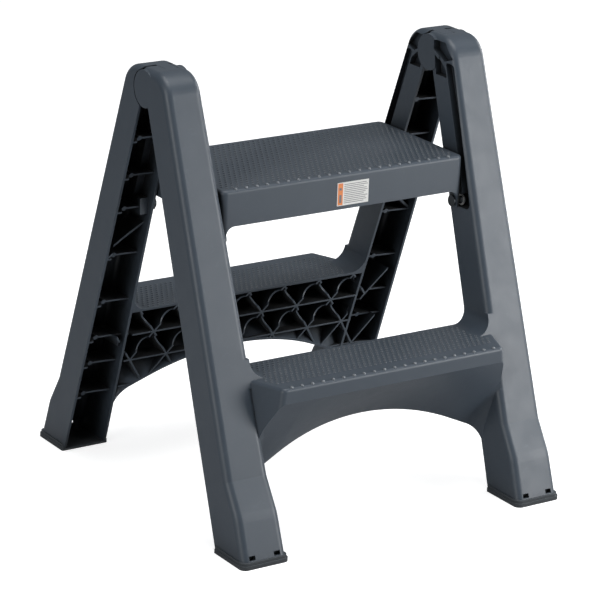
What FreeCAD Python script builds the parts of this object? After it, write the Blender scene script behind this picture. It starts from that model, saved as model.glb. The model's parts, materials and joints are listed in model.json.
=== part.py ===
import FreeCAD, Part
import math
import os
import re

import Sketcher

# Folding two-step plastic stool: two A-frame mouldings, a hinged platform, pins, washers and foot pads.
#
# Frame of reference: origin at the centre of the footprint on the floor, +X across the width,
# +Y towards the rear frame, +Z up.  The front frame stands on the -Y side.  Millimetres.

DIMENSIONS = {
    # side view of one frame; depths are measured from the middle of the stool
    "lean_run": 0.35,          # how far a frame leans back for each unit of height
    "open_foot": 207.0,        # depth of the open side of the channel at the floor
    "stile_depth": 60.0,       # level depth of the channel at the floor
    "face_taper": 0.009,       # how much depth the channel loses for each unit of height
    "crest": 610.5,            # top of the frames
    "crest_radius": 37.0,      # round where the face runs into the top
    "foot_kick": 11.5,         # how far the foot stands out of the stile's face
    "knee_height": 64.0,
    "knee_radius": 60.0,
    "kink_height": 106.6,
    # front view of one frame
    "stile_outer": 258.0,
    "inner_foot": 189.5,       # half the gap between the stiles at the floor
    "inner_lean": 0.0214,      # how far the inner wall leans out for each unit of height
    "corner_round": 10.0,
    "wall": 3.5,
    # lower step
    "tread": 225.0,
    "nosing": 238.0,
    "nosing_drop": 21.0,
    "flank_half": 200.0,       # the step's sloping ends start here, inside the stiles' corners
    "flank_run": 0.39,         # how far an end draws in for each unit of depth
    "flank_set": 8.0,          # how far behind the stiles' face the ends start
    "gusset_radius": 22.0,
    "gusset_rise": 26.4,
    "gusset_lap": 2.0,
    "step_round": 5.0,
    "step_corner": 8.0,
    "arch_crown": 135.5,
    "arch_radius": 336.0,
    "arch_slope": 25.0,        # degrees; the arch runs out straight at this slope
    "arch_corner": 40.0,
    "mouth_half": 214.0,
    "mouth_corner": 8.0,
    "arch_base": 20.0,
    # ribs
    "rib": 2.5,
    "rib_boss": 3.5,
    "rib_boss_place": 236.0,
    "rib_recess": 15.0,
    "rib_step_near": 248.0,    # where a stile rib's free edge drops back
    "rib_step_far": 240.0,
    "rib_return": 10.0,
    "rib_wave_turn": 39.0,     # across the channel: where the free edge turns back out
    "rib_wave_span": 73.0,
    "rib_wave_radius": 117.0,
    "web_foot": 89.0,          # heights of the webs inside the stiles
    "web_lower": 242.0,
    "web_middle": 318.0,
    "web_slot": 392.0,
    "web_upper": 444.0,
    "web_hinge": 501.0,
    "brace_top": 375.0,        # inner end of the brace that starts at the middle web's outer end
    "lattice_pitch": 60.0,
    "lattice_middle": 183.0,
    "lattice_low": 140.0,
    "lattice_bottom": 97.0,
    "lattice_half": 2.0,       # half the upright thickness of a sloping web
    "lattice_dip": 9.0,        # how deep the webs' free edges are scooped
    "dip_radius": 24.0,
    "small_dip_radius": 16.0,
    # main hinge
    "hinge_height": 583.0,
    "disc_radius": 25.7,
    "disc_gap": 1.8,
    "tongue_outer": 233.5,
    "tongue_inner": 215.0,
    "tongue_radius": 24.5,
    "tongue_gap": 0.6,
    "tongue_reach": 14.0,
    "hinge_pin_radius": 5.0,
    "bore_clearance": 0.05,
    "cheek_inner": 200.2,
    # guide slots and hinge pockets in the inner walls
    "slot_near": 34.5,         # edges of the slot, measured from the open side
    "slot_far": 51.0,
    "slot_top": 577.0,
    "slot_round": 8.0,
    "notch_room": 9.0,
    "hinge_floor": 552.0,      # the cheeks are solid plates above this height
    "pocket_depth": 11.0,
    "pocket_near": 12.0,
    "pocket_far": 54.0,
    "pocket_top": 603.5,
    # platform
    "platform_top": 460.0,
    "platform_half": 196.0,
    "platform_depth_half": 101.0,
    "skirt": 50.0,
    "platform_corner": 10.0,
    "platform_round": 5.0,
    "ear_width": 19.0,
    "ear_bottom": 386.0,
    "ear_thick": 8.0,
    "ear_flare": 13.0,
    "deck_rib_pitch": 48.0,
    "deck_rib_lift": 22.0,     # how far the deck's ribs stop above the skirt's edge
    # platform pins
    "pin_place": 91.0,
    "pin_height": 393.0,
    "pin_radius": 5.5,
    "pin_head_radius": 8.0,
    "pin_head": 2.5,
    "pin_tip": 208.0,
    "guide_tip": 196.2,
    "washer_radius": 8.2,
    "washer_thick": 1.6,
    # foot pads
    "pad_floor": 3.0,
    "pad_height": 9.5,
    "pad_ledge": 5.5,
    "pad_stand": 2.6,
    "pad_corner": 9.0,
    "tab_width": 9.7,
    "tab_height": 6.0,
    "tab_inset": 15.0,
    "tab_thick": 2.5,
    "tab_lift": 1.0,
    # label on the platform's front
    "label_width": 51.0,
    "label_height": 32.5,
    "label_place": 12.5,
    "label_middle": 431.5,
    "label_thick": 0.4,
}

doc = FreeCAD.newDocument("StepStool")
sheet = doc.addObject("Spreadsheet::Sheet", "Dimensions")
for row, (alias, number) in enumerate(DIMENSIONS.items(), start=1):
    sheet.set(f"A{row}", alias)
    sheet.set(f"B{row}", str(number))
    sheet.setAlias(f"B{row}", alias)
probe = doc.addObject("App::FeaturePython", "Probe")
probe.addProperty("App::PropertyFloat", "Number")
doc.recompute()

LATERAL = FreeCAD.Rotation(FreeCAD.Vector(1, 1, 1), 120)   # sketch x, y -> world Y, Z
FRONTAL = FreeCAD.Rotation(FreeCAD.Vector(1, 0, 0), 90)    # sketch x, y -> world X, Z
LEVEL = FreeCAD.Rotation()                                  # sketch x, y -> world X, Y
OPEN = "(open_foot - lean_run * {0})"                       # depth of the open side at a height
FACE = "(open_foot + stile_depth - (lean_run + face_taper) * {0})"   # depth of the face at a height
INNER = "(inner_foot + inner_lean * {0})"                   # inner wall at a height


def linked(text):
    """The same expression with each alias pointing into the sheet."""
    names = r"(?<![\w.])(" + "|".join(sorted(DIMENSIONS, key=len, reverse=True)) + r")(?!\w)"
    return re.sub(names, r"Dimensions.\1", text)


def value(text):
    """The number that an expression over the sheet stands for."""
    probe.setExpression("Number", linked(text))
    probe.recompute()
    return probe.Number


def bind(thing, **sizes):
    """Tie properties to expressions; two underscores stand for a dot."""
    for name, text in sizes.items():
        thing.setExpression(name.replace("__", "."), linked(text))
    return thing


def place(thing, x="0", y="0", z="0"):
    return bind(thing, Placement__Base__x=x, Placement__Base__y=y, Placement__Base__z=z)


def outline(sketch, corners):
    """Draw a closed outline.  Each corner is (x, y) or (x, y, radius), all of them expressions."""
    points = [FreeCAD.Vector(value(corner[0]), value(corner[1]), 0) for corner in corners]
    count = len(points)
    entries, exits, arcs = [], [], []
    for index, corner in enumerate(corners):
        point = points[index]
        if len(corner) == 2:
            entries.append(point)
            exits.append(point)
            arcs.append(None)
            continue
        back = (points[index - 1] - point).normalize()
        ahead = (points[(index + 1) % count] - point).normalize()
        half = back.getAngle(ahead) / 2
        radius = value(corner[2])
        bisector = (back + ahead).normalize()
        entries.append(point + back * (radius / math.tan(half)))
        exits.append(point + ahead * (radius / math.tan(half)))
        middle = point + bisector * (radius / math.sin(half) - radius)
        turns_left = back.cross(ahead).z < 0
        first, last = (entries[-1], exits[-1]) if turns_left else (exits[-1], entries[-1])
        arcs.append(Part.Arc(first, middle, last))
    lines = []
    for index in range(count):
        segment = Part.LineSegment(exits[index], entries[(index + 1) % count])
        lines.append(sketch.addGeometry(segment, False))
    for index, corner in enumerate(corners):
        before, after = lines[index - 1], lines[index]
        anchor = after
        if arcs[index] is None:
            sketch.addConstraint(Sketcher.Constraint("Coincident", before, 2, after, 1))
        else:
            arc = sketch.addGeometry(arcs[index], False)
            entry_end = 1 if (sketch.Geometry[arc].StartPoint - entries[index]).Length < 1e-6 else 2
            anchor = sketch.addGeometry(Part.Point(points[index]), True)
            sketch.addConstraint([
                Sketcher.Constraint("Tangent", before, 2, arc, entry_end),
                Sketcher.Constraint("Tangent", arc, 3 - entry_end, after, 1),
                Sketcher.Constraint("PointOnObject", anchor, 1, before),
                Sketcher.Constraint("PointOnObject", anchor, 1, after),
            ])
            size = sketch.addConstraint(Sketcher.Constraint("Radius", arc, value(corner[2])))
            sketch.setExpression(f"Constraints[{size}]", linked(corner[2]))
        for kind, text, number in (
            ("DistanceX", corner[0], points[index].x),
            ("DistanceY", corner[1], points[index].y),
        ):
            size = sketch.addConstraint(Sketcher.Constraint(kind, -1, 1, anchor, 1, number))
            sketch.setExpression(f"Constraints[{size}]", linked(text))
    return sketch


def free_sketch(name, turn, corners):
    sketch = doc.addObject("Sketcher::SketchObject", name)
    sketch.Placement = FreeCAD.Placement(FreeCAD.Vector(), turn)
    return outline(sketch, corners)


def prism(name, turn, corners, ahead, behind="0"):
    """An outline swept along its sketch's normal."""
    solid = doc.addObject("Part::Extrusion", name)
    solid.Base = free_sketch(name + "Outline", turn, corners)
    solid.DirMode = "Normal"
    solid.Solid = True
    return bind(solid, LengthFwd=ahead, LengthRev=behind)


def side_prism(name, corners, start, finish):
    """A side-view outline between two distances from the middle of the stool."""
    solid = prism(name, LATERAL, corners, f"{finish} - ({start})")
    solid.Base.setExpression("Placement.Base.x", linked(start))
    return solid


def leaning_prism(name, corners):
    """A level outline swept up along the lean of the frame."""
    solid = doc.addObject("Part::Extrusion", name)
    solid.Base = free_sketch(name + "Outline", LEVEL, corners)
    solid.DirMode = "Custom"
    solid.Dir = FreeCAD.Vector(0, -1, 1)
    solid.Solid = True
    return bind(solid, Dir__y="-lean_run", LengthFwd="crest * sqrt(1 + lean_run ^ 2)")


def box(name, x, y, z, length, width, height):
    solid = doc.addObject("Part::Box", name)
    return place(bind(solid, Length=length, Width=width, Height=height), x, y, z)


def rod(name, x, y, z, radius, length):
    """A cylinder along +X that starts at x."""
    solid = doc.addObject("Part::Cylinder", name)
    solid.Placement = FreeCAD.Placement(FreeCAD.Vector(), FreeCAD.Rotation(FreeCAD.Vector(0, 1, 0), 90))
    return place(bind(solid, Radius=radius, Height=length), x, y, z)


def boolean(kind, name, parts):
    solid = doc.addObject("Part::" + kind, name)
    if kind in ("Cut", "Common"):
        solid.Base, solid.Tool = parts
    else:
        solid.Shapes = parts
    return solid


def mirrored(name, source, across=(1, 0, 0)):
    solid = doc.addObject("Part::Mirroring", name)
    solid.Source = source
    solid.Normal = FreeCAD.Vector(*across)
    return solid


def rounded(name, base, radius, wanted):
    """Fillet the edges of base that wanted(edge) picks."""
    doc.recompute()
    size = value(radius)
    solid = doc.addObject("Part::Fillet", name)
    solid.Base = base
    picked = [index for index, edge in enumerate(base.Shape.Edges, start=1) if wanted(edge)]
    solid.Edges = [(index, size, size) for index in picked]
    return solid


def ends(edge):
    return edge.Vertexes[0].Point, edge.Vertexes[-1].Point


def on_face(edge):
    """True for an edge of a stile's side outline that lies on its face, foot or top."""
    first, last = ends(edge)
    level = abs(first.z - last.z) < 0.5
    if level and first.z < value("crest") - 1.5 * value("wall"):
        return False
    middle = edge.valueAt((edge.FirstParameter + edge.LastParameter) / 2)
    return middle.y > value("open_foot") - value("lean_run") * middle.z + value("stile_depth") / 3


# ---------------------------------------------------------------- one frame, open side towards -Y
# The front and rear frames are one moulding up to the hinge, turned half a turn about Z.
# It is drawn as the rear frame, so its face looks along +Y.

def stile(name, inset, foot):
    """Right-hand stile (+X) down to the level foot; inset shrinks it to the hollow inside."""
    top = f"(crest - {inset})"
    side = prism(name + "Side", LATERAL, [
        (f"{OPEN.format(foot)} - {inset}", foot),
        (f"{FACE.format(foot)} + foot_kick - {inset}", foot),
        (f"{FACE.format('knee_height')} + foot_kick - {inset}", "knee_height", f"knee_radius - {inset}"),
        (f"{FACE.format('kink_height')} - {inset}", "kink_height"),
        (f"{FACE.format(top)} - {inset}", top, f"crest_radius - {inset}"),
        (f"{OPEN.format(top)} - {inset}", top),
    ], "stile_outer + wall")
    front = prism(name + "Front", FRONTAL, [
        (f"{INNER.format('(-wall)')} + {inset}", "-wall"),
        (f"stile_outer - {inset}", "-wall"),
        (f"stile_outer - {inset}", "crest"),
        (f"{INNER.format('crest')} + {inset}", "crest"),
    ], "stile_depth", "open_foot + 2 * stile_depth")
    blank = boolean("Common", name + "Blank", (side, front))
    return rounded(name, blank, f"corner_round - {inset}", on_face)


def arch_tunnel(name, growth):
    """The space under the step: an arch on the open side that widens to a flat mouth at the nosing."""
    side = f"({INNER.format('lattice_low')} + {growth})"
    radius = f"(arch_radius + {growth})"
    apex = f"(arch_crown * sqrt(1 + lean_run ^ 2) + {growth} + {radius} * (1 / cos(arch_slope) - 1))"
    shoulder = f"{apex} - {side} * tan(arch_slope)"
    rim = free_sketch(name + "Rim", FRONTAL, [
        (f"-{side}", "arch_base"),
        (f"-{side}", shoulder, f"arch_corner + {growth}"),
        ("0", apex, radius),
        (side, shoulder, f"arch_corner + {growth}"),
        (side, "arch_base"),
    ])
    bind(rim, Placement__Rotation__Angle="90 deg + atan(lean_run)", Placement__Base__y="open_foot")
    lip = f"(tread - nosing_drop + {growth})"
    mouth = free_sketch(name + "Mouth", FRONTAL, [
        (f"-mouth_half - {growth}", "arch_base"),
        (f"-mouth_half - {growth}", lip, f"mouth_corner + {growth}"),
        (f"-{radius} * sin(arch_slope)", lip),
        (f"{radius} * sin(arch_slope)", lip),
        (f"mouth_half + {growth}", lip, f"mouth_corner + {growth}"),
        (f"mouth_half + {growth}", "arch_base"),
    ])
    place(mouth, y="nosing")
    tunnel = doc.addObject("Part::Loft", name)
    tunnel.Sections = [rim, mouth]
    tunnel.Solid = True
    tunnel.Ruled = True
    return tunnel


def step_block(name, inset):
    """The lower step with its tapered ends, before the arch is taken out."""
    top = f"(tread - {inset})"
    low = "(arch_base + step_round)"
    side = prism(name + "Side", LATERAL, [
        (f"{OPEN.format(low)} - {inset}", low),
        (f"nosing - {inset}", low),
        (f"nosing - {inset}", top),
        (f"{OPEN.format(top)} - {inset}", top),
    ], "stile_outer", "stile_outer")
    wide = f"(flank_half - {inset} * sqrt(1 + flank_run ^ 2))"
    start = "(open_foot + stile_depth - flank_set)"
    reach = "(2 * stile_depth)"
    plan = leaning_prism(name + "Plan", [
        (f"-{wide}", "0"),
        (f"{wide}", "0"),
        (wide, start),
        (f"{wide} - {reach} * flank_run", f"{start} + {reach}"),
        (f"-{wide} + {reach} * flank_run", f"{start} + {reach}"),
        (f"-{wide}", start),
    ])
    return boolean("Common", name, (side, plan))


def is_front_corner(edge):
    """The two corners of the step that run down from the nosing's ends."""
    first, last = ends(edge)
    return min(first.y, last.y) > value("nosing") - 0.01 and abs(first.z - last.z) > 0.01


def is_step_edge(edge):
    """The step's top edge: the nosing, its rounded corners and the sloping ends."""
    first, last = ends(edge)
    front = max(first.y, last.y) > value("nosing - 2 * step_corner")
    return front and min(first.z, last.z) > value("tread") - 0.01


def gusset(name, side_prism):
    """The round between the tread and the stile's inner wall."""
    start = f"({INNER.format('tread')} - gusset_radius - gusset_lap)"
    rise = "(tread + gusset_rise)"
    blank = prism(name + "Blank", FRONTAL, [
        (start, "tread - corner_round"),
        (start, "tread"),
        (INNER.format("tread"), "tread", "gusset_radius"),
        (INNER.format(rise), rise),
        ("stile_outer - 2 * corner_round", rise),
        ("stile_outer - 2 * corner_round", "tread - corner_round"),
    ], "0", "open_foot + stile_depth")
    return boolean("Common", name, (blank, side_prism))


outer_right = stile("StileOuter", "0", "pad_floor")
hollow_right = stile("StileHollow", "wall", "(-wall)")
gusset_right = gusset("GussetRight", doc.getObject("StileOuterSide"))
step_corners = rounded("StepCorners", step_block("StepBlock", "0"), "step_corner", is_front_corner)
step_outer = rounded("StepRounded", step_corners, "step_round", is_step_edge)
step_shell = boolean("Cut", "StepOuter", (step_outer, arch_tunnel("Tunnel", "0")))
step_room = boolean("Cut", "StepRoom", (
    step_block("StepInner", "wall"),
    arch_tunnel("TunnelWide", "wall"),
))
between = prism("BetweenStiles", FRONTAL, [
    ("-inner_foot", "0"),
    (f"-{INNER.format('tread')}", "tread"),
    (INNER.format("tread"), "tread"),
    ("inner_foot", "0"),
], "0", "open_foot + 2 * stile_depth")
step_hollow = boolean("Common", "StepHollow", (step_room, between))


# ---------------------------------------------------------------- ribs inside a frame
RIB_HEIGHTS = (
    "web_foot", "lattice_low", "lattice_middle", "web_lower",
    "web_middle", "web_slot", "web_upper", "web_hinge",
)
LATTICE_BENDS = 7       # bends of a sloping web on each side of the middle
DIP_COLUMNS = 3         # scooped columns on each side of the middle
DECK_RIBS = 3           # cross ribs under the deck on each side of the middle one


def stile_ribs(name):
    """Level webs in both stiles with a boss on each; the free edge drops back in a wave."""
    webs = []
    for number, height in enumerate(RIB_HEIGHTS):
        webs.append(box(f"{name}Web{number}", "-stile_outer", "0", f"{height} - rib / 2",
                        "2 * stile_outer", "open_foot + 2 * stile_depth", "rib"))
        for side in ("-rib_boss_place", "(inner_foot + stile_outer - rib_boss_place + 2 * wall)"):
            boss = doc.addObject("Part::Cylinder", f"{name}Boss")
            boss.Placement = FreeCAD.Placement(
                FreeCAD.Vector(), FreeCAD.Rotation(FreeCAD.Vector(1, 0, 0), -90))
            bind(boss, Radius="rib_boss", Height="open_foot + 2 * stile_depth")
            webs.append(place(boss, x=side, z=height))
    brace = prism(name + "Brace", FRONTAL, [
        ("inner_foot", "brace_top - lattice_half"),
        ("stile_outer", "web_middle - lattice_half"),
        ("stile_outer", "web_middle + lattice_half"),
        ("inner_foot", "brace_top + lattice_half"),
    ], "0", "open_foot + 2 * stile_depth")
    webs += [brace, mirrored(name + "BraceLeft", brace)]
    grid = boolean("MultiFuse", name + "Grid", webs)
    wave = []
    for side, start in (("Left", "-stile_outer"), ("Right", "(inner_foot - rib)")):
        near = f"({start} + stile_outer - rib_step_near)"
        far = f"({start} + stile_outer - rib_step_far)"
        wave.append(leaning_prism(f"{name}Wave{side}", [
            (start, "open_foot - stile_depth"),
            (start, "open_foot"),
            (near, "open_foot", "rib_boss"),
            (far, "open_foot + rib_recess", "rib_boss"),
            (f"{start} + rib_wave_turn", "open_foot + rib_recess", "rib_wave_radius"),
            (f"{start} + rib_wave_span", "open_foot + rib_return"),
            (f"{start} + rib_wave_span", "open_foot - stile_depth"),
        ]))
    return boolean("Cut", name, (grid, boolean("MultiFuse", name + "Waves", wave)))


def zigzag(name, peaks, valleys, shift):
    """A band that runs to and fro between two heights, one peak each lattice pitch."""
    bends = []
    for step in range(-LATTICE_BENDS + shift, LATTICE_BENDS + shift + 1):
        height = peaks if (step - shift) % 2 else valleys
        bends.append((f"{step} * lattice_pitch / 2", height))
    upper = [(x, f"{height} + lattice_half") for x, height in bends]
    lower = [(x, f"{height} - lattice_half") for x, height in reversed(bends)]
    return prism(name, FRONTAL, upper + lower, "0", "open_foot + 2 * stile_depth")


def step_lattice(name):
    """The triangular webs behind the step, with dips in their free edges."""
    webs = [
        zigzag(name + "Top", "(tread - wall)", "lattice_middle", 1),
        zigzag(name + "Middle", "lattice_middle", "lattice_low", 0),
        zigzag(name + "Low", "lattice_low", "lattice_bottom", 1),
    ]
    for number, height in enumerate(("lattice_middle", "lattice_low", "lattice_bottom")):
        webs.append(box(f"{name}Level{number}", "-inner_foot", "0", f"{height} - rib / 2",
                        "2 * inner_foot", "open_foot + 2 * stile_depth", "rib"))
    grid = boolean("MultiFuse", name + "Grid", webs)
    upper_row = "(lattice_middle + tread) / 2"
    lower_row = "(lattice_middle + lattice_low) / 2"
    dips = []
    for step in range(-DIP_COLUMNS, DIP_COLUMNS + 1):
        for height, shift, radius in (
            ("lattice_middle", 0, "dip_radius"),
            (upper_row, 0.25, "small_dip_radius"),
            (upper_row, -0.25, "small_dip_radius"),
            (lower_row, 0.25, "small_dip_radius"),
            (lower_row, -0.25, "small_dip_radius"),
        ):
            dip = bind(doc.addObject("Part::Sphere", f"{name}Dip"), Radius=radius)
            dips.append(place(dip, f"({step} + {shift}) * lattice_pitch",
                              f"{OPEN.format(height)} - {radius} + lattice_dip", height))
    return boolean("Cut", name, (grid, boolean("MultiFuse", name + "Dips", dips)))


def slot_track(name):
    """Solid backing in the stile around the guide slot, so that the slot is a closed groove."""
    low = "(pin_height - notch_room - rib)"
    notch_top = "(pin_height + notch_room + rib)"
    return side_prism(name, [
        (f"{OPEN.format('slot_top')} + slot_near - rib", "slot_top"),
        (f"{OPEN.format('slot_top')} + stile_depth", "slot_top"),
        (f"{OPEN.format(low)} + stile_depth", low),
        ("pin_place - notch_room - rib", low),
        ("pin_place - notch_room - rib", notch_top),
        (f"{OPEN.format(notch_top)} + slot_near - rib", notch_top),
    ], "inner_foot", "(cheek_inner + pocket_depth + rib)")


outer = boolean("MultiFuse", "FrameOuter", [
    outer_right, gusset_right, step_shell,
    mirrored("OuterLeft", outer_right), mirrored("GussetLeft", gusset_right),
])
cheek_fill = box("CheekFill", "inner_foot", "-stile_depth", "hinge_floor",
                 "tongue_inner - inner_foot", "3 * stile_depth", "crest")
hollow_open = boolean("Cut", "HollowRight", (hollow_right, cheek_fill))
hollow = boolean("MultiFuse", "FrameHollow", [
    hollow_open, mirrored("HollowLeft", hollow_open), step_hollow])
track = slot_track("SlotTrack")
ribs = boolean("MultiFuse", "FrameRibs", [
    stile_ribs("StileRibs"), step_lattice("Lattice"), track, mirrored("SlotTrackLeft", track)])
cavity = boolean("Cut", "FrameCavity", (hollow, ribs))
shell = boolean("Cut", "FrameShell", (outer, cavity))


# ---------------------------------------------------------------- slots, pockets and the main hinge

def inner_wall_cuts():
    """The platform pin's guide slot with its resting notch, and two pockets beside the hinge."""
    notch_top = "(pin_height + notch_room)"
    notch_end = "pin_place - notch_room"
    sink = "(cheek_inner + pocket_depth)"
    slot = side_prism("GuideSlot", [
        (f"{OPEN.format('slot_top')} + slot_near", "slot_top", "slot_round / 2"),
        (f"{OPEN.format('slot_top')} + slot_far", "slot_top", "slot_round"),
        (f"{OPEN.format('pin_height')} + slot_far", "pin_height - notch_room", "slot_round"),
        (notch_end, "pin_height - notch_room", "slot_round"),
        (notch_end, notch_top, "slot_round"),
        (f"{OPEN.format(notch_top)} + slot_near", notch_top, "slot_round / 2"),
    ], "inner_foot - wall", sink)
    crescent = side_prism("CrescentPocket", [
        ("pocket_near", "pocket_top"),
        ("pocket_far - crest_radius / 2", "pocket_top", "slot_round"),
        ("pocket_far", "hinge_height"),
        (f"{OPEN.format('slot_top')} + slot_near - wall", "slot_top"),
        ("pocket_near", "hinge_height + 2 * wall"),
    ], "inner_foot - wall", sink)
    wedge = side_prism("WedgePocket", [
        ("pocket_near + wall", "hinge_height"),
        ("pocket_near + 2 * wall", "hinge_floor + wall"),
        (f"{OPEN.format('hinge_floor')} + slot_near - wall", "hinge_floor + wall"),
        (f"{OPEN.format('hinge_floor')} + slot_near - 2 * wall", "hinge_floor + 4 * wall"),
        ("pocket_near + 5 * wall", "hinge_height - 2 * wall"),
    ], "inner_foot - wall", sink)
    return [slot, crescent, wedge]


TAB_STARTS = ("inner_foot + tab_inset - tab_width / 2", "stile_outer - tab_inset - tab_width / 2")


def foot_windows():
    """Two small windows in the face of a foot, over the pad's tabs."""
    depth = f"{FACE.format('pad_height')} + foot_kick - 4 * wall"
    return [
        box(f"Window{number}", start, depth, "pad_height + tab_lift", "tab_width", "6 * wall", "tab_height")
        for number, start in enumerate(TAB_STARTS)
    ]


side_cuts = boolean("MultiFuse", "SideCuts", inner_wall_cuts() + foot_windows())
side_cuts_left = mirrored("SideCutsLeft", side_cuts)
axis = "hinge_height"
swing = "disc_radius + disc_gap"

# rear frame: a tongue on each stile between the front frame's cheeks
rear_room = boolean("MultiFuse", "CheekRoom", [
    rod("InnerCheekRoom", "inner_foot - wall", "0", axis, swing, "tongue_inner - inner_foot + wall"),
    rod("OuterCheekRoom", "tongue_outer", "0", axis, swing, "stile_outer + wall - tongue_outer"),
    box("InnerCheekTop", "inner_foot - wall", "-disc_radius", axis,
        "tongue_inner - inner_foot + wall", "disc_radius + pocket_near", "disc_radius + wall"),
    box("OuterCheekTop", "tongue_outer", "-disc_radius", axis,
        "stile_outer + wall - tongue_outer", "disc_radius + pocket_near", "disc_radius + wall"),
])
tongue_block = side_prism("TongueBlock", [
    ("-tongue_reach", "crest - 3 * wall"),
    ("-tongue_reach", "crest", "rib"),
    ("disc_radius", "crest"),
    ("disc_radius", "hinge_floor"),
    (f"{OPEN.format('hinge_floor')} + wall", "hinge_floor"),
    ("0", axis),
], "tongue_inner", "tongue_outer")
tongue_width = "tongue_outer - tongue_inner"
tongue = boolean("Cut", "Tongue", (
    boolean("MultiFuse", "TongueBlank", [
        tongue_block, rod("TongueRound", "tongue_inner", "0", axis, "tongue_radius", tongue_width)]),
    rod("TongueBore", "tongue_inner - wall", "0", axis, "hinge_pin_radius + bore_clearance",
        f"{tongue_width} + 2 * wall"),
))
rear_cut = boolean("Cut", "RearCut", (shell, boolean("MultiFuse", "RearTools", [
    rear_room, mirrored("CheekRoomLeft", rear_room), side_cuts, side_cuts_left])))
rear_frame = boolean("MultiFuse", "RearFrame", [rear_cut, tongue, mirrored("TongueLeft", tongue)])

# front frame, drawn as a rear frame and turned round: two cheeks on each stile
slot_start = "(tongue_inner - tongue_gap)"
slot_end = "(tongue_outer + tongue_gap)"
cheek_disc = boolean("Cut", "OuterCheek", (
    rod("OuterDisc", slot_end, "0", axis, "disc_radius", f"stile_outer - {slot_end}"),
    boolean("Cut", "DiscHollow", (
        rod("DiscHollowRound", slot_end, "0", axis, "disc_radius - wall",
            f"stile_outer - wall - {slot_end}"),
        rod("PinBoss", slot_end, "0", axis, "2 * hinge_pin_radius", f"stile_outer - {slot_end}"),
    )),
))
cheeks = boolean("MultiFuse", "Cheeks", [
    cheek_disc,
    rod("InnerDisc", "cheek_inner", "0", axis, "disc_radius", f"{slot_start} - cheek_inner"),
])
tongue_room = boolean("MultiFuse", "TongueRoom", [
    rod("TongueSwing", slot_start, "0", axis, swing, f"{slot_end} - {slot_start}"),
    box("TongueTop", slot_start, "-disc_radius", axis,
        f"{slot_end} - {slot_start}", "disc_radius + tongue_reach + tongue_gap", "disc_radius + wall"),
    rod("PinSeat", "cheek_inner + wall", "0", axis, "hinge_pin_radius",
        "stile_outer - 2 * wall - cheek_inner"),
])
front_blank = boolean("MultiFuse", "FrontBlank", [shell, cheeks, mirrored("CheeksLeft", cheeks)])
front_cut = boolean("Cut", "FrontCut", (front_blank, boolean("MultiFuse", "FrontTools", [
    tongue_room, mirrored("TongueRoomLeft", tongue_room), side_cuts, side_cuts_left])))
front_frame = mirrored("FrontFrame", mirrored("FrontTurned", front_cut), across=(0, 1, 0))


# ---------------------------------------------------------------- pins, washers, pads and label

hinge_pin = rod("HingePin", "cheek_inner + wall", "0", axis, "hinge_pin_radius",
                "stile_outer - 2 * wall - cheek_inner")


def platform_pin(name, tip):
    """A pin through a platform ear, with its head inside the ear."""
    start = "(platform_half - ear_thick - pin_head)"
    return boolean("MultiFuse", name, [
        rod(name + "Head", start, "-pin_place", "pin_height", "pin_head_radius", "pin_head"),
        rod(name + "Shank", start, "-pin_place", "pin_height", "pin_radius", f"{tip} - {start}"),
    ])


pivot_pin = platform_pin("PivotPin", "pin_tip")
guide_pin = mirrored("GuidePinTurned", platform_pin("GuidePin", "guide_tip"), across=(0, 1, 0))
washer_start = f"{INNER.format('pin_height')} + wall + tongue_gap"
washer = boolean("Cut", "PivotWasher", (
    rod("WasherRound", washer_start, "-pin_place", "pin_height", "washer_radius", "washer_thick"),
    rod("WasherHole", washer_start, "-pin_place", "pin_height", "pin_radius", "washer_thick"),
))


def pad_layer(name, stand, height):
    """One storey of a pad's rim; the side under the channel's opening stays flush with it."""
    front = f"{FACE.format('pad_ledge')} + foot_kick + {stand}"
    return prism(name, LEVEL, [
        (f"inner_foot - {stand}", OPEN.format("pad_floor"), "rib"),
        (f"stile_outer + {stand}", OPEN.format("pad_floor"), "rib"),
        (f"stile_outer + {stand}", front, "pad_corner"),
        (f"inner_foot - {stand}", front, "pad_corner"),
    ], height)


def foot_pad():
    """A tray under a foot with a stepped rim and two tabs behind the foot's windows."""
    tray = boolean("Cut", "PadTray", (
        boolean("MultiFuse", "PadLayers", [
            pad_layer("PadLow", "pad_stand", "pad_ledge"),
            pad_layer("PadHigh", "pad_stand / 2", "pad_height"),
        ]),
        outer_right,
    ))
    tab_top = "(pad_height + tab_height + 2 * tab_lift)"
    tab_back = f"{FACE.format(tab_top)} + foot_kick - wall - tab_thick - tongue_gap"
    tabs = [
        box(f"PadTab{number}", start, tab_back, "0", "tab_width", "tab_thick", tab_top)
        for number, start in enumerate(TAB_STARTS)
    ]
    return boolean("MultiFuse", "FootPad", [tray] + tabs)


pad = foot_pad()
pad_left = mirrored("FootPadLeft", pad)
label = box("Label", "label_place - label_width / 2", "-platform_depth_half - label_thick",
            "label_middle - label_height / 2", "label_width", "label_thick", "label_height")

# ---------------------------------------------------------------- platform
deck = doc.addObject("PartDesign::Body", "Deck")


def deck_sketch(name, inset, radius, lift):
    """The deck's outline, drawn in by inset, on the body's level plane lifted to a height."""
    sketch = deck.newObject("Sketcher::SketchObject", name)
    plane = next(item for item in deck.Origin.OriginFeatures if item.Role == "XY_Plane")
    sketch.AttachmentSupport = [(plane, "")]
    sketch.MapMode = "FlatFace"
    bind(sketch, AttachmentOffset__Base__z=lift)
    return outline(sketch, deck_outline(inset, radius))


def deck_outline(inset, radius):
    wide = f"(platform_half - {inset})"
    deep = f"(platform_depth_half - {inset})"
    return [
        (f"-{wide}", f"-{deep}", radius),
        (wide, f"-{deep}", radius),
        (wide, deep, radius),
        (f"-{wide}", deep, radius),
    ]


def deck_feature(kind, name, sketch, reverse):
    feature = deck.newObject("PartDesign::" + kind, name)
    feature.Profile = sketch
    feature.Reversed = reverse
    deck.Tip = feature
    return bind(feature, Length="skirt")


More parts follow.
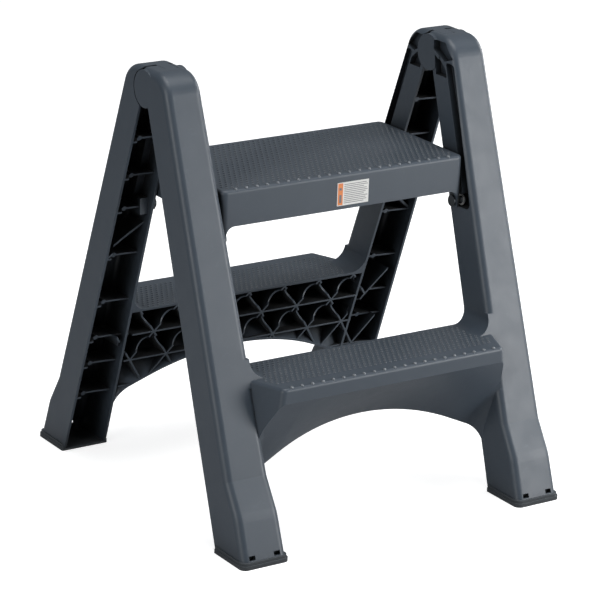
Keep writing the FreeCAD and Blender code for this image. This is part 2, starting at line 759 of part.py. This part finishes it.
deck_feature("Pad", "DeckBlock", deck_sketch("DeckOutline", "0", "platform_corner", "platform_top"), True)
deck_feature("Pocket", "DeckHollow",
             deck_sketch("HollowOutline", "wall", "platform_corner - wall", "platform_top - wall"), False)
skirt_low = "(platform_top - skirt)"
ear_inner = "(platform_half - ear_thick)"


def ear(name, far, depth, corner):
    """The right front ear or its brace: a plate down from the skirt, flared into it with a round."""
    return prism(name, FRONTAL, [
        ("platform_half", "ear_bottom"),
        ("platform_half", f"{skirt_low} + wall"),
        (far, f"{skirt_low} + wall"),
        (far, skirt_low),
        (ear_inner, skirt_low, corner),
        (ear_inner, "ear_bottom"),
    ], "platform_depth_half", f"-(platform_depth_half - {depth})")


ears = [
    ear("EarPlate", f"{ear_inner} - rib", "ear_width", "rib / 2"),
    ear("EarBrace", f"{ear_inner} - ear_flare - rib", "wall", "ear_flare"),
]
ears += [mirrored(f"EarLeft{number}", part) for number, part in enumerate(ears)]
ears += [mirrored(f"EarRear{number}", part, across=(0, 1, 0)) for number, part in enumerate(ears)]
deck_ribs = [
    box(f"DeckRib{step + DECK_RIBS}", f"{step} * deck_rib_pitch - rib / 2", "-platform_depth_half + wall",
        f"{skirt_low} + deck_rib_lift", "rib", "2 * (platform_depth_half - wall)",
        "skirt - deck_rib_lift - wall / 2")
    for step in range(-DECK_RIBS, DECK_RIBS + 1)
]
deck_ribs += [
    box(f"DeckLongRib{number}", "-platform_half + wall", f"{side} * deck_rib_pitch - rib / 2",
        f"{skirt_low} + deck_rib_lift", "2 * (platform_half - wall)", "rib",
        "skirt - deck_rib_lift - wall / 2")
    for number, side in enumerate((-1, 0, 1))
]
envelope_block = prism("PlatformBlock", LEVEL, deck_outline("0", "platform_corner"), "platform_top")
envelope = rounded("PlatformEnvelope", envelope_block, "platform_round",
                   lambda edge: min(point.z for point in ends(edge)) > value("platform_top") - 0.01)
ear_holes = [
    rod(f"EarHole{number}", "-platform_half - wall", place_y, "pin_height", "pin_radius",
        "2 * (platform_half + wall)")
    for number, place_y in enumerate(("-pin_place", "pin_place"))
]
platform = boolean("Cut", "Platform", (
    boolean("Common", "PlatformRounded", (
        boolean("MultiFuse", "PlatformBlank", [deck] + ears + deck_ribs), envelope)),
    boolean("MultiFuse", "EarHoles", ear_holes),
))

# ---------------------------------------------------------------- nodes
NODES = {
    "front_frame": front_frame,
    "rear_frame": rear_frame,
    "top_platform": platform,
    "hinge_pin_right": hinge_pin,
    "hinge_pin_left": mirrored("HingePinLeft", hinge_pin),
    "pivot_pin_right": pivot_pin,
    "pivot_pin_left": mirrored("PivotPinLeft", pivot_pin),
    "guide_pin_right": guide_pin,
    "guide_pin_left": mirrored("GuidePinLeft", guide_pin),
    "pin_washer_right": washer,
    "pin_washer_left": mirrored("PivotWasherLeft", washer),
    "rear_foot_right": pad,
    "rear_foot_left": pad_left,
    "front_foot_right": mirrored("FootPadFrontRight", pad, across=(0, 1, 0)),
    "front_foot_left": mirrored("FootPadFrontLeft", pad_left, across=(0, 1, 0)),
    "front_label": label,
}
doc.recompute()
for thing in doc.Objects:
    if {"Invalid", "Error"} & set(thing.State):
        raise RuntimeError(f"{thing.Name} did not build: {thing.State}")
os.makedirs("parts", exist_ok=True)
for node, thing in NODES.items():
    thing.Label = node
    if thing.Shape.isNull() or not thing.Shape.isValid():
        raise RuntimeError(f"{node} has no valid shape")
    thing.Shape.exportStep(f"parts/{node}.step")
    print(f"{node}: {len(thing.Shape.Solids)} solid, {thing.Shape.Volume / 1000:.1f} cm3")
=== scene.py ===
import json
import math

import bmesh
import bpy
from mathutils import Matrix, Vector


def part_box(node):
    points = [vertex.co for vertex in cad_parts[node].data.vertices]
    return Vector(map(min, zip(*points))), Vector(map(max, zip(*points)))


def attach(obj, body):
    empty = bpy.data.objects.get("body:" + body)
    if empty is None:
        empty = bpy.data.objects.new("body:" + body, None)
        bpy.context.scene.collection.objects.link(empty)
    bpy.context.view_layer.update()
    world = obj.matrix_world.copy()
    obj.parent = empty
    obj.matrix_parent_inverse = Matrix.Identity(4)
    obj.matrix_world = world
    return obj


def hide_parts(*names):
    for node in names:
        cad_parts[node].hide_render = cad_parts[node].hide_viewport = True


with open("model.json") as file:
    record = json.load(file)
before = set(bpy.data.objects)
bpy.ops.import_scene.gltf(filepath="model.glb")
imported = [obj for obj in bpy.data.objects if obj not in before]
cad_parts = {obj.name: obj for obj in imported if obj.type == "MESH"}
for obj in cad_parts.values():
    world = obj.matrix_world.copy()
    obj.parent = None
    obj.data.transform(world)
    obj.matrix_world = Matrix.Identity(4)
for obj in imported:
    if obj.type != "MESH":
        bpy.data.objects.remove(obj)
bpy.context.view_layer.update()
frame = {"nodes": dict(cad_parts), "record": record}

# ---------------------------------------------------------------- driving dimensions
MM = 0.001
STILE_OUTER = 258 * MM
INNER_FOOT = 189.5 * MM                  # half the gap between the stiles at the floor
INNER_LEAN = 0.0214                      # how far each inner wall leans out for each unit of height
TREAD = 225 * MM                         # height of the lower steps
NOSING = 238 * MM                        # depth of their front edge
TREAD_BACK = 136 * MM                    # depth of the grip pattern's first row
TREAD_MARGIN = 20 * MM                   # plain strip between the last row and the front edge
GUSSET = 24 * MM                         # plain strip beside each stile
FLANK_START = 179 * MM                   # depth where the tread starts to narrow towards its front edge
FLANK_HALF = 200 * MM                    # half the tread's width there
FLANK_RUN = 0.39                         # how fast it narrows
FLANK_MARGIN = 9 * MM                    # plain strip beside the sloping ends
FLANK_EASE = 25 * MM                     # length over which the pattern's edge eases into the slope
PLATFORM_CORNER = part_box("top_platform")[1]
PLATFORM_HALF = PLATFORM_CORNER.x
PLATFORM_DEPTH = PLATFORM_CORNER.y
PLATFORM_TOP = PLATFORM_CORNER.z
PLATFORM_MARGIN = 13 * MM                # plain strip between the platform's edges and its grip pattern
PLATFORM_END = 8 * MM                    # plain strip at the platform's ends

PATTERN_X = 8.2 * MM                     # pitch of the grip bumps along a row
PATTERN_Y = 7.6 * MM                     # pitch of the rows
GRIP_RADIUS = 2.4 * MM
GRIP_STRETCH = 1.2                       # a grip bump's depth over its width
GRIP_RISE = 1.15 * MM
# the large bumps stand in one row where the tread runs into its rounded front edge
EDGE_PITCH = 16.4 * MM
EDGE_RADIUS = 2.6 * MM
EDGE_RISE = 2.1 * MM
EDGE_IN = 4.4 * MM                       # from the front edge back to the row
EDGE_DOWN = 0.1 * MM
EDGE_TILT = 0.25
SUNK = 0.4 * MM                          # how far every bump reaches below the surface


# ---------------------------------------------------------------- materials
def node(tree, kind, **inputs):
    """Add a shader node; keyword names are its inputs, with a single underscore for each space."""
    made = tree.nodes.new("ShaderNode" + kind)
    for name, given in inputs.items():
        made.inputs[name.replace("_", " ")].default_value = given
    return made


def link(tree, source, output, target, name):
    tree.links.new(source.outputs[output], target.inputs[name])


def scaled(tree, coordinates, scale):
    mapping = node(tree, "Mapping", Scale=scale)
    link(tree, coordinates, "Object", mapping, "Vector")
    return mapping


def level(tree, source, output, low, high, out_low, out_high):
    """Map a value from one range to another."""
    ramp = node(tree, "MapRange", From_Min=low, From_Max=high, To_Min=out_low, To_Max=out_high)
    link(tree, source, output, ramp, "Value")
    return ramp


def moulded(name, colour, roughness, grain=0.00012, occlusion=0.07, flow=0.03, edge=0.0006):
    """Moulded plastic: flow marks, fine grain, scuffs, painted shade in deep corners, and softened edges
    painted paler, partly as wear and partly as painted highlight.
    """
    material = bpy.data.materials.new(name)
    material.use_nodes = True
    tree = material.node_tree
    shader = tree.nodes["Principled BSDF"]
    shader.inputs["Sheen Weight"].default_value = 0.04
    coordinates = node(tree, "TexCoord")

    # wide, faint flow marks that run down the moulding
    marks = node(tree, "TexNoise", Scale=1.0, Detail=3.0, Roughness=0.55)
    link(tree, scaled(tree, coordinates, (26, 26, 5)), "Vector", marks, "Vector")
    tone = level(tree, marks, "Fac", 0.3, 0.7, 1 - flow, 1 + flow)
    # scuffs: sparse fine streaks that lift the colour and the roughness
    streaks = node(tree, "TexNoise", Scale=1.0, Detail=6.0, Roughness=0.7)
    link(tree, scaled(tree, coordinates, (60, 220, 60)), "Vector", streaks, "Vector")
    scuff = level(tree, streaks, "Fac", 0.58, 0.78, 0.0, 1.0)

    base = node(tree, "MixRGB", Fac=1.0, Color1=(*colour, 1))
    base.blend_type = "MULTIPLY"
    link(tree, tone, "Result", base, "Color2")
    worn = node(tree, "MixRGB", Color2=tuple(min(1, c * 1.5 + 0.01) for c in colour) + (1,))
    scuff_share = level(tree, scuff, "Result", 0, 1, 0, 0.35)
    link(tree, scuff_share, "Result", worn, "Fac")
    link(tree, base, "Color", worn, "Color1")

    # edges are painted paler, partly rubbed wear and partly painted highlight; painted shade darkens deep
    # corners
    bevel = node(tree, "Bevel", Radius=edge)
    bevel.samples = 4
    geometry = node(tree, "NewGeometry")
    facing = node(tree, "VectorMath")
    facing.operation = "DOT_PRODUCT"
    tree.links.new(bevel.outputs["Normal"], facing.inputs[0])
    tree.links.new(geometry.outputs["Normal"], facing.inputs[1])
    # painted highlight and wear: where the bevel normal turns away from the face normal, the colour is
    # lifted towards a much paler tone
    edge_wear_and_highlight_mask = level(tree, facing, "Value", 0.985, 0.8, 0.0, 0.7)
    edge_wear_and_highlight = node(tree, "MixRGB", Color2=tuple(min(1, c * 2.6 + 0.03) for c in colour) + (1,))
    link(tree, edge_wear_and_highlight_mask, "Result", edge_wear_and_highlight, "Fac")
    link(tree, worn, "Color", edge_wear_and_highlight, "Color1")
    # painted shade: ambient occlusion darkens the base colour in corners, recesses and between parts
    shade = node(tree, "AmbientOcclusion", Distance=occlusion)
    shade.samples = 6
    depth = level(tree, shade, "AO", 0.28, 0.75, 0.05, 1.0)
    final = node(tree, "MixRGB", Fac=1.0)
    final.blend_type = "MULTIPLY"
    link(tree, edge_wear_and_highlight, "Color", final, "Color1")
    link(tree, depth, "Result", final, "Color2")
    link(tree, final, "Color", shader, "Base Color")

    # satin that varies a little, over a fine spark-eroded grain
    patches = node(tree, "TexNoise", Scale=38.0, Detail=4.0)
    link(tree, coordinates, "Object", patches, "Vector")
    satin = level(tree, patches, "Fac", 0.3, 0.7, roughness - 0.03, roughness + 0.03)
    link(tree, satin, "Result", shader, "Roughness")
    fine = node(tree, "TexNoise", Scale=1400.0, Detail=2.0)
    link(tree, coordinates, "Object", fine, "Vector")
    bump = node(tree, "Bump", Strength=0.6, Distance=grain)
    link(tree, fine, "Fac", bump, "Height")
    link(tree, bevel, "Normal", bump, "Normal")
    link(tree, bump, "Normal", shader, "Normal")
    return material


def steel(name, colour, roughness):
    """Turned steel: rings and fine scratches in colour, roughness and bump."""
    material = bpy.data.materials.new(name)
    material.use_nodes = True
    tree = material.node_tree
    shader = tree.nodes["Principled BSDF"]
    shader.inputs["Metallic"].default_value = 1.0
    coordinates = node(tree, "TexCoord")
    lines = node(tree, "TexNoise", Scale=1.0, Detail=5.0, Roughness=0.65)
    link(tree, scaled(tree, coordinates, (900, 60, 60)), "Vector", lines, "Vector")
    tint = node(tree, "MixRGB", Color1=tuple(c * 0.8 for c in colour) + (1,), Color2=(*colour, 1))
    link(tree, lines, "Fac", tint, "Fac")
    link(tree, tint, "Color", shader, "Base Color")
    satin = level(tree, lines, "Fac", 0.3, 0.7, roughness - 0.08, roughness + 0.12)
    link(tree, satin, "Result", shader, "Roughness")
    bump = node(tree, "Bump", Strength=0.3, Distance=0.00005)
    link(tree, lines, "Fac", bump, "Height")
    link(tree, bump, "Normal", shader, "Normal")
    return material


def film(name, colour, roughness=0.35):
    """Printed label film: a flat ink with a faint mottle and a slightly wavy gloss."""
    material = bpy.data.materials.new(name)
    material.use_nodes = True
    tree = material.node_tree
    shader = tree.nodes["Principled BSDF"]
    coordinates = node(tree, "TexCoord")
    mottle = node(tree, "TexNoise", Scale=420.0, Detail=3.0)
    link(tree, coordinates, "Object", mottle, "Vector")
    tint = node(tree, "MixRGB", Color1=tuple(c * 0.9 for c in colour) + (1,), Color2=(*colour, 1))
    link(tree, mottle, "Fac", tint, "Fac")
    link(tree, tint, "Color", shader, "Base Color")
    satin = level(tree, mottle, "Fac", 0.3, 0.7, roughness - 0.05, roughness + 0.1)
    link(tree, satin, "Result", shader, "Roughness")
    bump = node(tree, "Bump", Strength=0.2, Distance=0.00005)
    link(tree, mottle, "Fac", bump, "Height")
    link(tree, bump, "Normal", shader, "Normal")
    return material


CHARCOAL = (0.042, 0.056, 0.074)
# the grip bumps' colour is lighter than the charcoal they are moulded in: painted highlight standing in for
# their glint
GRIP_PAINTED_LIGHT = (0.062, 0.075, 0.09)
frame_plastic = moulded("frame_plastic", CHARCOAL, 0.42)
platform_plastic = moulded("platform_plastic", CHARCOAL, 0.44)
# painted shade: the short occlusion reach darkens the colour round the foot of each grip bump
grip_plastic_painted_light = moulded("grip_plastic_painted_light", GRIP_PAINTED_LIGHT, 0.36, flow=0.04, occlusion=0.02)
# painted highlight and shade: the edge bumps get a much paler colour than the charcoal, and a very short
# occlusion reach darkens their bases
edge_plastic_painted_light = moulded("edge_plastic_painted_light", (0.12, 0.135, 0.15), 0.24, flow=0.04, occlusion=0.006)
pin_plastic = moulded("pin_plastic", (0.03, 0.034, 0.04), 0.38)
foot_rubber = moulded("foot_rubber", (0.05, 0.06, 0.07), 0.5, grain=0.0002)
bright_steel = steel("bright_steel", (0.95, 0.95, 0.93), 0.45)
dark_steel = steel("dark_steel", (0.1, 0.11, 0.12), 0.4)
white_film = film("white_film", (0.72, 0.72, 0.7))
orange_film = film("orange_film", (0.72, 0.22, 0.06))
ink_film = film("ink_film", (0.16, 0.16, 0.17))

SLOT_MATERIALS = {
    "frame_plastic": frame_plastic,
    "platform_plastic": platform_plastic,
    "pin_plastic": pin_plastic,
    "pin_steel": bright_steel,
    "foot_rubber": foot_rubber,
    "label_film": white_film,
}
# the platform's pins look dark in the photo, though their washers are bright
DARK_PINS = ("pivot_pin", "guide_pin")
for entry in frame["record"]["subparts"]:
    cad = frame["nodes"][entry["node"]]
    cad.data.materials.clear()
    look = SLOT_MATERIALS[entry["material_slot"]]
    if entry["node"].startswith(DARK_PINS):
        look = dark_steel
    cad.data.materials.append(look)
    for polygon in cad.data.polygons:
        polygon.material_index = 0


# ---------------------------------------------------------------- pieces
def piece(name, mesh, body, slot, *materials):
    """Finish a new mesh: materials, smooth shading by angle, and the body it rides on."""
    made = bpy.data.objects.new(name, mesh)
    bpy.context.scene.collection.objects.link(made)
    for material in materials:
        mesh.materials.append(material)
    mesh.shade_smooth()
    mesh.set_sharp_from_angle(angle=math.radians(40))
    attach(made, body)
    return made


def bumps(name, spots, half_x, half_y, height, body, look, tilt=0.0, sides=12, rings=4):
    """Closed rounded bumps on a surface; tilt turns each one about the X axis."""
    mesh = bmesh.new()
    turn = Matrix.Rotation(tilt, 3, "X")
    for spot in spots:
        layers = [(1.0, -SUNK)]
        layers += [
            (math.cos(step * math.pi / 2 / rings), height * math.sin(step * math.pi / 2 / rings))
            for step in range(rings)
        ]
        loops = []
        for share, rise in layers:
            loop = []
            for side in range(sides):
                angle = 2 * math.pi * side / sides
                place = Vector((half_x * share * math.cos(angle), half_y * share * math.sin(angle), rise))
                loop.append(mesh.verts.new(spot + turn @ place))
            loops.append(loop)
        crown = mesh.verts.new(spot + turn @ Vector((0, 0, height)))
        mesh.faces.new(list(reversed(loops[0])))
        for lower, upper in zip(loops, loops[1:]):
            for side in range(sides):
                other = (side + 1) % sides
                mesh.faces.new((lower[side], lower[other], upper[other], upper[side]))
        for side in range(sides):
            mesh.faces.new((loops[-1][side], loops[-1][(side + 1) % sides], crown))
    data = bpy.data.meshes.new(name)
    mesh.to_mesh(data)
    mesh.free()
    slot = "platform_plastic" if body == "platform" else "frame_plastic"
    return piece(name, data, body, slot, look)


def staggered(first, last, half_width, z, side):
    """Spots in rows from depth first to last; every other row is set off by half a pitch."""
    spots = []
    rows = int((last - first) / PATTERN_Y + 1e-6) + 1
    for row in range(rows):
        y = first + row * PATTERN_Y
        shift = 0.5 if row % 2 else 0.0
        reach = int(STILE_OUTER / PATTERN_X)
        for column in range(-reach, reach + 1):
            x = (column + shift) * PATTERN_X
            if abs(x) <= half_width(y):
                spots.append(Vector((x, side * y, z)))
    return spots


def step_half_width(y):
    """Half the width of a lower step's grip pattern at a depth."""
    if y < FLANK_START:
        return INNER_FOOT + INNER_LEAN * TREAD - GUSSET
    ease = max(0.0, FLANK_START + FLANK_EASE - y) / 2
    return FLANK_HALF - FLANK_RUN * (y - FLANK_START) - FLANK_MARGIN - ease


def platform_half_width(y):
    """Half the width of the platform's grip pattern, the same at every depth."""
    return PLATFORM_HALF - PLATFORM_END


def grip_pattern(name, spots, body):
    bumps(name, spots, GRIP_RADIUS, GRIP_RADIUS * GRIP_STRETCH, GRIP_RISE, body, grip_plastic_painted_light,
          sides=4, rings=2)


def edge_row(count, y, z, shift=0.0):
    """Spots of the large bumps on both sides of the middle."""
    return [Vector(((place + shift) * EDGE_PITCH, y, z)) for place in range(-count, count + 1)
            if abs(place + shift) <= count]


def edge_bumps(name, spots, body):
    bumps(name, spots, EDGE_RADIUS, EDGE_RADIUS, EDGE_RISE, body, edge_plastic_painted_light, tilt=EDGE_TILT)


for body, side in (("front", -1), ("rear", 1)):
    grip_pattern(f"{body}_step_grip",
                 staggered(TREAD_BACK, NOSING - TREAD_MARGIN, step_half_width, TREAD, side), body)
edge_bumps("front_nosing_bumps", edge_row(10, EDGE_IN - NOSING, TREAD - EDGE_DOWN), "front")

top_grip = staggered(PLATFORM_MARGIN - PLATFORM_DEPTH, PLATFORM_DEPTH - PLATFORM_MARGIN,
                     platform_half_width, PLATFORM_TOP, 1)
grip_pattern("platform_grip", top_grip, "platform")
edge_bumps("platform_edge_bumps",
           edge_row(11, EDGE_IN - PLATFORM_DEPTH, PLATFORM_TOP - EDGE_DOWN, shift=0.5), "platform")


# ---------------------------------------------------------------- label: plain bars in place of print
def plate(mesh, low, high, index):
    """A thin closed slab with the material of that index."""
    corners = [(x, y, z) for x in (low.x, high.x) for y in (low.y, high.y) for z in (low.z, high.z)]
    verts = [mesh.verts.new(corner) for corner in corners]
    for loop in ((0, 1, 3, 2), (4, 6, 7, 5), (0, 4, 5, 1), (2, 3, 7, 6), (0, 2, 6, 4), (1, 5, 7, 3)):
        face = mesh.faces.new([verts[corner] for corner in loop])
        face.material_index = index


def label():
    """The label: white film, an orange band at its left with two dark marks, and rows of grey bars."""
    low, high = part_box("front_label")
    ink = 0.08 * MM
    band = 9 * MM
    inset = 1 * MM
    mesh = bmesh.new()
    plate(mesh, low + Vector((0, ink, 0)), high, 0)
    plate(mesh, Vector((low.x + inset, low.y, low.z + inset)),
          Vector((low.x + band, low.y + ink, high.z - inset)), 1)
    bars = 11
    pitch = (high.z - low.z - 4 * inset) / bars
    for bar in range(bars):
        z = low.z + 2 * inset + (bar + 0.5) * pitch
        right = high.x - 2 * inset - (6 * MM if bar % 4 == 0 else 1.5 * MM * (bar % 3))
        plate(mesh, Vector((low.x + band + 2 * inset, low.y, z - pitch * 0.17)),
              Vector((right, low.y + ink, z + pitch * 0.17)), 2)
    for z, tall in ((0.3, 0.34), (0.72, 0.1)):
        middle = low.z + (high.z - low.z) * z
        half = (high.z - low.z) * tall / 2
        plate(mesh, Vector((low.x + 3.2 * MM, low.y - ink, middle - half)),
              Vector((low.x + band - 2.2 * MM, low.y, middle + half)), 2)
    bmesh.ops.recalc_face_normals(mesh, faces=mesh.faces)
    data = bpy.data.meshes.new("label_print")
    mesh.to_mesh(data)
    mesh.free()
    made = piece("label_print", data, "platform", "label_film", white_film, orange_film, ink_film)
    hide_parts("front_label")


label()

# ---------------------------------------------------------------- floor, light and camera
# the camera sees paper white; every other ray meets a darker felt, so that the floor doesn't flood the stool
floor_mesh = bmesh.new()
bmesh.ops.create_grid(floor_mesh, x_segments=1, y_segments=1, size=30)
floor_data = bpy.data.meshes.new("floor")
floor_mesh.to_mesh(floor_data)
floor_mesh.free()
floor = bpy.data.objects.new("floor", floor_data)
bpy.context.scene.collection.objects.link(floor)
floor_material = bpy.data.materials.new("floor")
floor_material.use_nodes = True
floor_tree = floor_material.node_tree
floor_tree.nodes.clear()
seen = node(floor_tree, "BsdfPrincipled", Base_Color=(0.75, 0.75, 0.75, 1), Roughness=0.9,
            Emission_Color=(1, 1, 1, 1), Emission_Strength=0.72)
felt = node(floor_tree, "BsdfDiffuse", Color=(0.5, 0.5, 0.5, 1))
floor_path = node(floor_tree, "LightPath")
floor_pick = node(floor_tree, "MixShader")
floor_output = node(floor_tree, "OutputMaterial")
link(floor_tree, floor_path, "Is Camera Ray", floor_pick, "Fac")
floor_tree.links.new(felt.outputs["BSDF"], floor_pick.inputs[1])
floor_tree.links.new(seen.outputs["BSDF"], floor_pick.inputs[2])
link(floor_tree, floor_pick, "Shader", floor_output, "Surface")
floor_data.materials.append(floor_material)


def soft_light(name, place, aim, size, power, tint=(1, 1, 1)):
    data = bpy.data.lights.new(name, "AREA")
    data.shape = "RECTANGLE"
    data.size, data.size_y = size
    data.energy = power
    data.color = tint
    made = bpy.data.objects.new(name, data)
    bpy.context.scene.collection.objects.link(made)
    made.location = place
    made.rotation_euler = (Vector(aim) - Vector(place)).to_track_quat("-Z", "Y").to_euler()


MIDDLE = (0, 0, 0.3)
soft_light("key", (1.5, -1.7, 0.8), MIDDLE, (0.9, 1.3), 36)
soft_light("side", (3.2, 0.2, 1.2), MIDDLE, (0.8, 2.2), 50)
soft_light("left", (-3.0, -1.2, 1.2), MIDDLE, (1.2, 2.2), 36)
soft_light("top", (0.2, -0.4, 3.2), MIDDLE, (2.0, 2.0), 56)

world = bpy.data.worlds.new("studio")
bpy.context.scene.world = world
world.use_nodes = True
sky = world.node_tree
sky.nodes.clear()
room = node(sky, "Background", Color=(0.92, 0.96, 1.0, 1), Strength=0.2)
paper = node(sky, "Background", Color=(1, 1, 1, 1), Strength=1.0)
path = node(sky, "LightPath")
pick = node(sky, "MixShader")
output = node(sky, "OutputWorld")
link(sky, path, "Is Camera Ray", pick, "Fac")
sky.links.new(room.outputs["Background"], pick.inputs[1])
sky.links.new(paper.outputs["Background"], pick.inputs[2])
link(sky, pick, "Shader", output, "Surface")

AZIMUTH, ELEVATION, ROLL = (math.radians(angle) for angle in (-33.75, 18.74, 2.03))
AIM = Vector((1.6 * MM, 1.9 * MM, 248.5 * MM))
DISTANCE = 4.2845
back = Vector((math.sin(AZIMUTH) * math.cos(ELEVATION), -math.cos(AZIMUTH) * math.cos(ELEVATION),
               math.sin(ELEVATION)))
right = Vector((0, 0, 1)).cross(back).normalized()
up = back.cross(right)
turned_right = right * math.cos(ROLL) + up * math.sin(ROLL)
turned_up = up * math.cos(ROLL) - right * math.sin(ROLL)
camera = bpy.data.objects.new("camera", bpy.data.cameras.new("camera"))
bpy.context.scene.collection.objects.link(camera)
camera.data.sensor_width = 36
camera.data.lens = 184.4
camera.matrix_world = Matrix((turned_right, turned_up, back)).transposed().to_4x4()
camera.location = AIM + back * DISTANCE
camera.data.clip_end = 100
bpy.context.scene.camera = camera
bpy.context.scene.view_settings.view_transform = "Standard"
